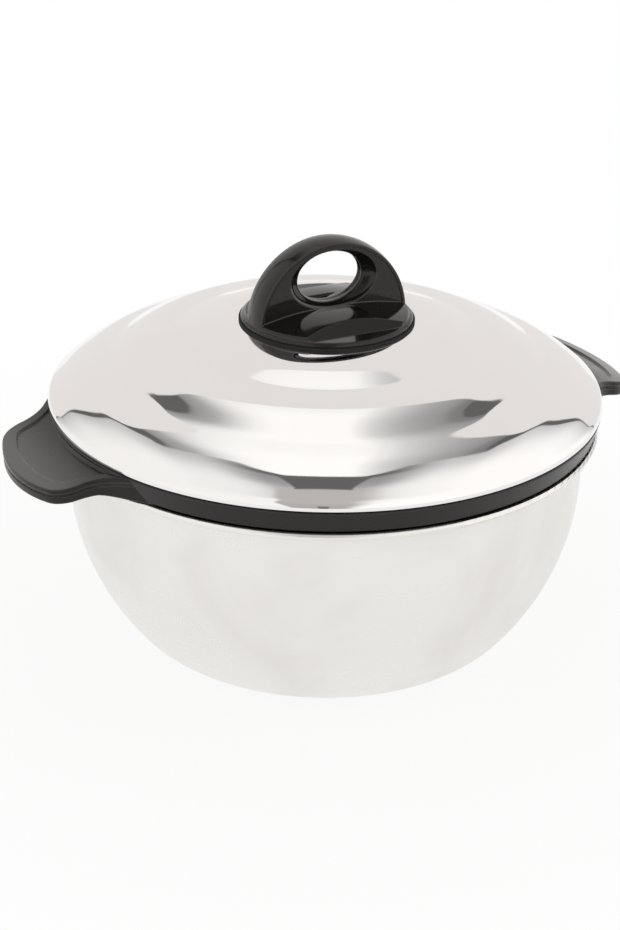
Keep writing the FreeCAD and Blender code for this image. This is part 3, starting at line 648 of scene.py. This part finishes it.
@dataclass
class Dome:
    """The lid's stepped dome as one fine turned sheet, from its plateau to its hem.

    Its mirror polish shows every facet, so the sheet is turned in small steps.
    """

    wardrobe: Wardrobe
    node: str = "lid_dome"
    sheet: float = 0.0006              # thickness, metres
    slopes: Outline = ((40.0, 0.0), (60.5, 18.1), (69.0, 19.0), (72.0, 7.2), (79.0, 7.6),
                       (84.0, 14.0), (87.0, 18.5), (90.0, 24.0), (93.5, 29.5), (97.0, 31.0),
                       (99.2, 30.5), (102.0, 20.0), (104.5, 18.0), (109.0, 19.5),
                       (112.0, 22.5), (115.0, 30.5), (118.5, 31.3),
                       (124.5, 39.5))  # radius in mm, slope down in degrees
    ease: float = 1.6                  # reach of the easing from slope to slope, mm
    samples: int = 9                   # slopes averaged over that reach
    step: float = 0.6                  # spacing of the turned rings, mm
    edge_arc: float = 0.0048           # bend of the last slope into the edge
    hem_bend: float = 0.00125          # outer bend of the hem
    hem_height: float = 0.0020         # its inner leg
    bends: int = 14                    # steps in each of those bends
    hole_radius: float = 0.0023        # of the two screw holes
    disc_radius: float = 0.030         # plain middle of the plateau, with those holes
    turns: int = 256                   # facets round the dome
    hole_turns: int = 20               # and round each screw hole

    def __post_init__(self) -> None:
        """Reads the edge, the heights and the place of the screw holes off the CAD nodes."""
        low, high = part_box(self.node)
        self.radius, self.foot, self.top = high.x, low.z, high.z
        left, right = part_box("knob_screw_right")
        self.screw_x = (left.x + right.x) / 2

    def build(self) -> None:
        """Makes the dome and puts it in the node's place."""
        outer = self.outside()
        body = bmesh.new()
        rings = [self.ring(body, point) for point in outer + self.inside(outer)]
        for near, far in zip(rings, rings[1:]):
            for k in range(self.turns):
                body.faces.new((near[k], near[k - 1], far[k - 1], far[k]))
        self.close_middle(body, rings[0], rings[-1])
        bmesh.ops.recalc_face_normals(body, faces=body.faces)
        mesh = bpy.data.meshes.new("polished_dome")
        body.to_mesh(mesh)
        body.free()
        mesh.shade_smooth()
        mesh.materials.append(self.wardrobe.material(Slot.DOME))
        piece = bpy.data.objects.new("polished_dome", mesh)
        bpy.context.scene.collection.objects.link(piece)
        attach(piece, Body.LID.value)
        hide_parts(self.node)
        LOG.info("turned %s with %d rings", piece.name, len(rings))

    def slope(self, across: float) -> float:
        """Slope of the outside at a radius in millimetres, in radians.

        Args:
            across: the radius.

        Returns:
            The slope, eased from each stretch to the next.
        """
        total = 0.0
        for k in range(self.samples):
            total += self.read(across + self.ease * (2 * k / (self.samples - 1) - 1))
        return math.radians(total / self.samples)

    def read(self, across: float) -> float:
        """The slope in degrees at a radius, before the easing."""
        points = self.slopes
        if across <= points[0][0]:
            return points[0][1]
        for (near, start), (far, end) in zip(points, points[1:]):
            if across <= far:
                return start + (end - start) * (across - near) / (far - near)
        return points[-1][1]

    def outside(self) -> Profile:
        """Outside of the sheet as points of radius and height, from plateau to hem."""
        last = math.radians(self.slopes[-1][1])
        reach = self.radius - self.edge_arc * (1 - math.sin(last))
        count = round((reach * 1000 - self.slopes[0][0] + self.ease) / self.step)
        start = (self.slopes[0][0] - self.ease) / 1000
        path = [(self.disc_radius, self.top), (start, self.top)]
        stride = (reach - start) / count
        for k in range(count):
            r, z = path[-1]
            path.append((r + stride, z - stride * math.tan(self.slope((r + stride / 2) * 1000))))
        r, z = path[-1]
        for k in range(1, self.bends + 1):
            turn = last + (math.pi / 2 - last) * k / self.bends
            path.append((r + self.edge_arc * (math.sin(turn) - math.sin(last)),
                         z - self.edge_arc * (math.cos(last) - math.cos(turn))))
        heel = self.foot + self.hem_bend
        path.append((self.radius, (path[-1][1] + heel) / 2))
        for k in range(self.bends + 1):
            turn = math.pi * k / self.bends
            path.append((self.radius - self.hem_bend * (1 - math.cos(turn)),
                         heel - self.hem_bend * math.sin(turn)))
        path.append((self.radius - 2 * self.hem_bend, heel + self.hem_height))
        return path

    def inside(self, outer: Profile) -> Profile:
        """The same path one sheet further in, walked back to the plateau."""
        path = []
        for k, (r, z) in enumerate(outer):
            before, after = outer[max(k - 1, 0)], outer[min(k + 1, len(outer) - 1)]
            along = Vector((after[0] - before[0], after[1] - before[1])).normalized()
            path.append((r + along.y * self.sheet, z - along.x * self.sheet))
        return path[::-1]

    def ring(self, body: bmesh.types.BMesh, point: Span) -> Ring:
        """One ring of vertices at a radius and height."""
        return [body.verts.new(spot) for spot in circle(*point, self.turns)]

    def close_middle(self, body: bmesh.types.BMesh, upper: Ring, lower: Ring) -> None:
        """Fills the middle of the plateau on both faces, round the two screw holes.

        Args:
            body: the mesh.
            upper: ring of vertices on the outside.
            lower: ring of vertices on the inside.
        """
        walls = []
        for ring in (upper, lower):
            holes = [[body.verts.new(spot)
                      for spot in circle(self.hole_radius, ring[0].co.z, self.hole_turns, middle)]
                     for middle in (-self.screw_x, self.screw_x)]
            walls.append(holes)
            spots = ring + holes[0] + holes[1]
            loops = [[v.co for v in loop] for loop in (ring, *holes)]
            for corners in tessellate_polygon(loops):
                body.faces.new([spots[index] for index in corners])
        for high, low in zip(*walls):
            for k in range(self.hole_turns):
                body.faces.new((high[k], high[k - 1], low[k - 1], low[k]))


@dataclass
class Lid:
    """The double-walled lid."""

    wardrobe: Wardrobe

    def build(self) -> None:
        """Turns the dome and dresses the nodes under it."""
        Dome(self.wardrobe).build()
        for node, slot in (("lid_liner", Slot.FOOD), ("lid_foam", Slot.FOAM)):
            self.wardrobe.dress_node(node, slot)


@dataclass
class Knob:
    """The arch knob, its pad and its fixings."""

    wardrobe: Wardrobe

    def build(self) -> None:
        """Dresses the knob's nodes."""
        self.wardrobe.dress_node("knob", Slot.KNOB)
        self.wardrobe.dress_node("knob_gasket", Slot.PAD)
        for side in ("left", "right"):
            self.wardrobe.dress_node("knob_screw_" + side, Slot.FIXING)
            self.wardrobe.dress_node("knob_washer_" + side, Slot.FIXING)


# ------------------------------------------------------------------ studio

@dataclass
class Studio:
    """A white room: pale floor, backdrop, overhead softbox and side panels.

    The room is drawn by direction: degrees from straight up, across to the right
    and ahead, away from the room's open front.
    """

    facing: float = -27.2          # azimuth of the room's front, degrees
    floor_radius: float = 1.5
    floor_height: float = -0.0002
    floor_turns: int = 96
    floor_colour: Colour = (0.92, 0.92, 0.915)
    floor_reach: Span = (0.10, 0.45)       # from beside the object to far off, metres
    floor_glow: Span = (0.86, 1.0)         # brightness of the floor at either
    # how far ahead the backdrop starts, by the distance to either side
    backdrop_edge: Outline = ((0, 36), (15, 35.5), (24, 34.8), (28.5, 33.2), (32, 32),
                              (34.5, 32.8), (37, 36.8), (39, 41.5), (41.5, 45), (45, 48.5),
                              (48.5, 52), (55, 55), (76, 72), (90, 90))
    backdrop_tone: float = 0.88
    backdrop_blur: float = 0.6
    # how far ahead the softbox starts, by the distance to either side
    near_edge: Outline = ((0, -0.3), (8, 0.2), (11, 2.3), (14, 4.9), (20, 10), (23.7, 12.6),
                          (28.5, 16.5), (31.5, 20), (33.5, 25), (35.5, 30), (37, 34.5),
                          (39.5, 39.5), (43.5, 43.2), (47.6, 48.2), (50, 52), (60, 56.5),
                          (76, 72), (90, 90))
    # brightness of the softbox from left to right
    softbox_tone: Outline = ((-31, 0.14), (-29, 0.36), (-26, 0.45), (-22, 0.70),
                             (-18, 0.95), (-14, 1.10), (-9, 1.16), (4, 1.16), (8, 1.0),
                             (11, 0.80), (14, 0.66), (18, 0.52), (22, 0.43), (26, 0.36),
                             (29, 0.26), (30.5, 0.235), (31.3, 0.14))
    softbox_fall: Span = (20.0, 36.0)      # it dims between these,
    softbox_far: float = 0.93              # to this share
    # brightness of the side panels by the distance from the softbox, near the bar and far out
    inner_tone: Outline = ((0, 0.15), (1.6, 0.16), (3.6, 0.33), (7, 0.36), (11.6, 0.44),
                           (14.2, 0.59), (19, 0.90), (27, 1.06))
    outer_tone: Outline = ((0, 0.58), (7, 0.79), (14, 0.93), (26, 1.04))
    outward: Span = (12.0, 26.0)           # the first gives way to the second between these
    frontward: Span = (-20.0, -42.0)       # and both to the next tone between these
    front_tone: float = 1.06
    right_rise: Span = (8.0, 34.0)         # the right panel brightens between these,
    right_gain: float = 1.12               # by this factor
    bar_half: Outline = ((-12, 7.2), (1, 10.6))        # half width of the bar, by ahead
    bar_foot: Span = (-13.4, -12.4)        # it starts between these
    bar_colour: Colour = (0.145, 0.142, 0.140)
    gap_start: Span = (-10.5, -13.0)       # the open front starts between these
    gap_fall: Span = (-17.0, -60.0)        # and widens between these
    gap_left: Span = (-12.0, -20.0)        # its left side at either
    gap_right: Span = (11.0, 16.0)         # its right side at either
    gap_blur: Span = (1.2, 6.0)            # how soft its left and its right side are
    gap_depth: Span = (-30.0, -80.0)       # its brightness changes between these,
    gap_shade: Span = (0.56, 0.50)         # from the one to the other
    boom_half: float = 3.0                 # half width of the boom in that front
    boom_top: Span = (-70.0, -73.0)        # it starts between these
    boom_blur: float = 0.8
    boom_colour: Colour = (0.20, 0.19, 0.185)
    sharp: float = 0.5                     # blur of the bar and of the softbox's edge
    white: Colour = (1.0, 0.992, 0.985)    # tint of the panels and the softbox
    warm: Colour = (1.0, 0.971, 0.957)     # of the backdrop
    dim: Colour = (1.0, 0.955, 0.93)       # and of the open front

    def build(self) -> None:
        """Makes the floor and the room."""
        self.floor()
        self.room()

    def floor(self) -> None:
        """Round pale table top that keeps the object's shadow and is open to a view from below."""
        mesh = bpy.data.meshes.new("floor")
        ring = circle(self.floor_radius, self.floor_height, self.floor_turns)
        mesh.from_pydata(ring, [], [list(range(len(ring)))])
        table = bpy.data.objects.new("floor", mesh)
        bpy.context.scene.collection.objects.link(table)
        material = bpy.data.materials.new("pale floor")
        material.use_nodes = True
        graph = Graph(material.node_tree)
        diffuse = graph.add("ShaderNodeBsdfDiffuse")
        graph.feed(diffuse.inputs["Color"], self.floor_colour)
        glow = graph.add("ShaderNodeEmission")
        graph.feed(glow.inputs["Color"], (1.0, 1.0, 1.0))
        off = graph.vector("LENGTH", graph.place()).outputs["Value"]
        share = graph.smooth(off, *self.floor_reach, *self.floor_glow)
        mix = graph.add("ShaderNodeMixShader")
        graph.feed(mix.inputs[0], graph.math("MULTIPLY", self.seen(graph), share))
        graph.feed(mix.inputs[1], diffuse.outputs[0])
        graph.feed(mix.inputs[2], glow.outputs[0])
        camera = graph.add("ShaderNodeLightPath").outputs["Is Camera Ray"]
        behind = graph.add("ShaderNodeNewGeometry").outputs["Backfacing"]
        open_below = graph.add("ShaderNodeMixShader")
        graph.feed(open_below.inputs[0], graph.math("MULTIPLY", camera, behind))
        graph.feed(open_below.inputs[1], mix.outputs[0])
        graph.feed(open_below.inputs[2], graph.add("ShaderNodeBsdfTransparent").outputs[0])
        output = graph.add("ShaderNodeOutputMaterial")
        graph.feed(output.inputs["Surface"], open_below.outputs[0])
        table.data.materials.append(material)
        LOG.info("floor of radius %.2f m", self.floor_radius)

    @staticmethod
    def seen(graph: Graph) -> Socket:
        """1 for rays by which the camera, metal or glass sees a surface."""
        path = graph.add("ShaderNodeLightPath")
        both = graph.math("MAXIMUM", path.outputs["Is Camera Ray"],
                          path.outputs["Is Glossy Ray"])
        return graph.math("MAXIMUM", both, path.outputs["Is Transmission Ray"])

    def room(self) -> None:
        """World light: the panels of the room by direction, white where it is looked at."""
        world = bpy.data.worlds.new("white room")
        bpy.context.scene.world = world
        world.use_nodes = True
        graph = Graph(world.node_tree)
        across, ahead = self.directions(graph)
        out = graph.math("ABSOLUTE", across)
        depth = graph.math("SUBTRACT", graph.curve(out, self.near_edge), ahead)
        colour = self.side_panels(graph, across, out, ahead, depth)
        colour = self.softbox(graph, across, ahead, depth, colour)
        colour = self.backdrop(graph, out, ahead, colour)
        camera = graph.add("ShaderNodeLightPath").outputs["Is Camera Ray"]
        shown = graph.blend(camera, colour, (1.0, 1.0, 1.0))
        light = graph.add("ShaderNodeBackground")
        graph.feed(light.inputs["Color"], shown)
        graph.feed(light.inputs["Strength"], 1.0)
        output = graph.add("ShaderNodeOutputWorld")
        graph.feed(output.inputs["Surface"], light.outputs[0])

    def directions(self, graph: Graph) -> tuple[Socket, Socket]:
        """Degrees from straight up, to the right and ahead, for each direction."""
        a = math.radians(self.facing)
        look = graph.add("ShaderNodeTexCoord").outputs["Generated"]
        side = graph.vector("DOT_PRODUCT", look, (math.cos(a), math.sin(a), 0.0))
        front = graph.vector("DOT_PRODUCT", look, (-math.sin(a), math.cos(a), 0.0))
        up = graph.vector("DOT_PRODUCT", look, (0.0, 0.0, 1.0))
        x, y = side.outputs["Value"], front.outputs["Value"]
        flat = graph.math("SQRT", graph.math("ADD", graph.math("MULTIPLY", x, x),
                                             graph.math("MULTIPLY", y, y)))
        angle = graph.math("DEGREES", graph.math("ARCCOSINE", up.outputs["Value"]))
        rate = graph.math("DIVIDE", angle, graph.math("MAXIMUM", flat, 0.0001))
        return graph.math("MULTIPLY", x, rate), graph.math("MULTIPLY", y, rate)

    def side_panels(self, graph: Graph, across: Socket, out: Socket, ahead: Socket,
                    depth: Socket) -> Socket:
        """White panels either side, the open front, and the dark bar and boom between.

        Args:
            graph: the world's node tree.
            across: degrees to the right of straight up.
            out: the same to either side.
            ahead: degrees ahead of straight up.
            depth: degrees nearer than the softbox's near edge.

        Returns:
            The colour in each direction.
        """
        low = graph.smooth(ahead, *self.frontward)
        pale = graph.between(graph.smooth(out, *self.outward),
                             graph.curve(depth, self.inner_tone),
                             graph.curve(depth, self.outer_tone))
        pale = graph.math("MULTIPLY", graph.between(low, pale, self.front_tone),
                          graph.smooth(across, *self.right_rise, 1.0, self.right_gain))
        side = graph.tone(pale, self.white)
        left = graph.smooth(ahead, *self.gap_fall, *self.gap_left)
        right = graph.smooth(ahead, *self.gap_fall, *self.gap_right)
        gap = graph.math("MULTIPLY", graph.inside(left, across, self.gap_blur[0]),
                         graph.inside(across, right, self.gap_blur[1]))
        gap = graph.math("MULTIPLY", gap, graph.smooth(ahead, *self.gap_start))
        shade = graph.smooth(ahead, *self.gap_depth, *self.gap_shade)
        colour = graph.blend(gap, side, graph.tone(shade, self.dim))
        boom = graph.math("MULTIPLY", graph.inside(out, self.boom_half, self.boom_blur),
                          graph.smooth(ahead, *self.boom_top))
        colour = graph.blend(boom, colour, self.boom_colour)
        half = graph.curve(ahead, self.bar_half)
        bar = graph.math("MULTIPLY", graph.inside(out, half, self.sharp),
                         graph.smooth(ahead, *self.bar_foot))
        return graph.blend(bar, colour, self.bar_colour)

    def softbox(self, graph: Graph, across: Socket, ahead: Socket, depth: Socket,
                colour: Socket) -> Socket:
        """Lays the overhead softbox, dark at both ends, over a colour.

        Args:
            graph: the world's node tree.
            across: degrees to the right of straight up.
            ahead: degrees ahead of straight up.
            depth: degrees nearer than its near edge.
            colour: what lies behind.

        Returns:
            The new colour.
        """
        fall = graph.smooth(ahead, *self.softbox_fall, 1.0, self.softbox_far)
        tone = graph.math("MULTIPLY", graph.curve(across, self.softbox_tone), fall)
        return graph.blend(graph.inside(depth, 0.0, self.sharp), colour,
                           graph.tone(tone, self.white))

    def backdrop(self, graph: Graph, out: Socket, ahead: Socket, colour: Socket) -> Socket:
        """Lays the backdrop over a colour.

        Args:
            graph: the world's node tree.
            out: degrees to either side of straight up.
            ahead: degrees ahead of straight up.
            colour: what lies behind.

        Returns:
            The new colour.
        """
        edge = graph.curve(out, self.backdrop_edge)
        return graph.blend(graph.inside(edge, ahead, self.backdrop_blur), colour,
                           graph.tone(self.backdrop_tone, self.warm))


@dataclass
class Viewpoint:
    """The camera, in front of the object, a little above its lid."""

    azimuth: float = -27.2         # degrees, as are the next two
    elevation: float = 24.15
    roll: float = 0.99
    distance: float = 1.0
    aim_height: float = 0.1
    sensor: float = 36.0           # along the longer side, the height
    focal: float = 2101 / 930      # focal length in picture heights
    shift: Span = (-0.0159, -0.0369)

    def build(self) -> None:
        """Makes the camera and makes it the scene's."""
        a, e = math.radians(self.azimuth), math.radians(self.elevation)
        back = Vector((math.sin(a) * math.cos(e), -math.cos(a) * math.cos(e), math.sin(e)))
        right = Vector((math.cos(a), math.sin(a), 0.0))
        up = back.cross(right)
        tilt = math.radians(self.roll)
        right, up = (right * math.cos(tilt) + up * math.sin(tilt),
                     up * math.cos(tilt) - right * math.sin(tilt))
        data = bpy.data.cameras.new("camera")
        data.sensor_width = self.sensor
        data.lens = self.focal * self.sensor
        data.shift_x, data.shift_y = self.shift
        camera = bpy.data.objects.new("camera", data)
        turn = Matrix((right, up, back)).transposed().to_4x4()
        place = Vector((0.0, 0.0, self.aim_height)) + back * self.distance
        camera.matrix_world = Matrix.Translation(place) @ turn
        bpy.context.scene.collection.objects.link(camera)
        bpy.context.scene.camera = camera


def main() -> None:
    """Builds the camera, the studio and every sub-assembly."""
    logging.basicConfig(level=logging.INFO, format="%(name)s: %(message)s")
    bpy.context.scene.view_settings.view_transform = "Standard"
    Viewpoint().build()
    Studio().build()
    wardrobe = Wardrobe()
    for assembly in (Bowl(wardrobe), Lid(wardrobe), Knob(wardrobe)):
        assembly.build()


if __name__ == "__main__":
    main()
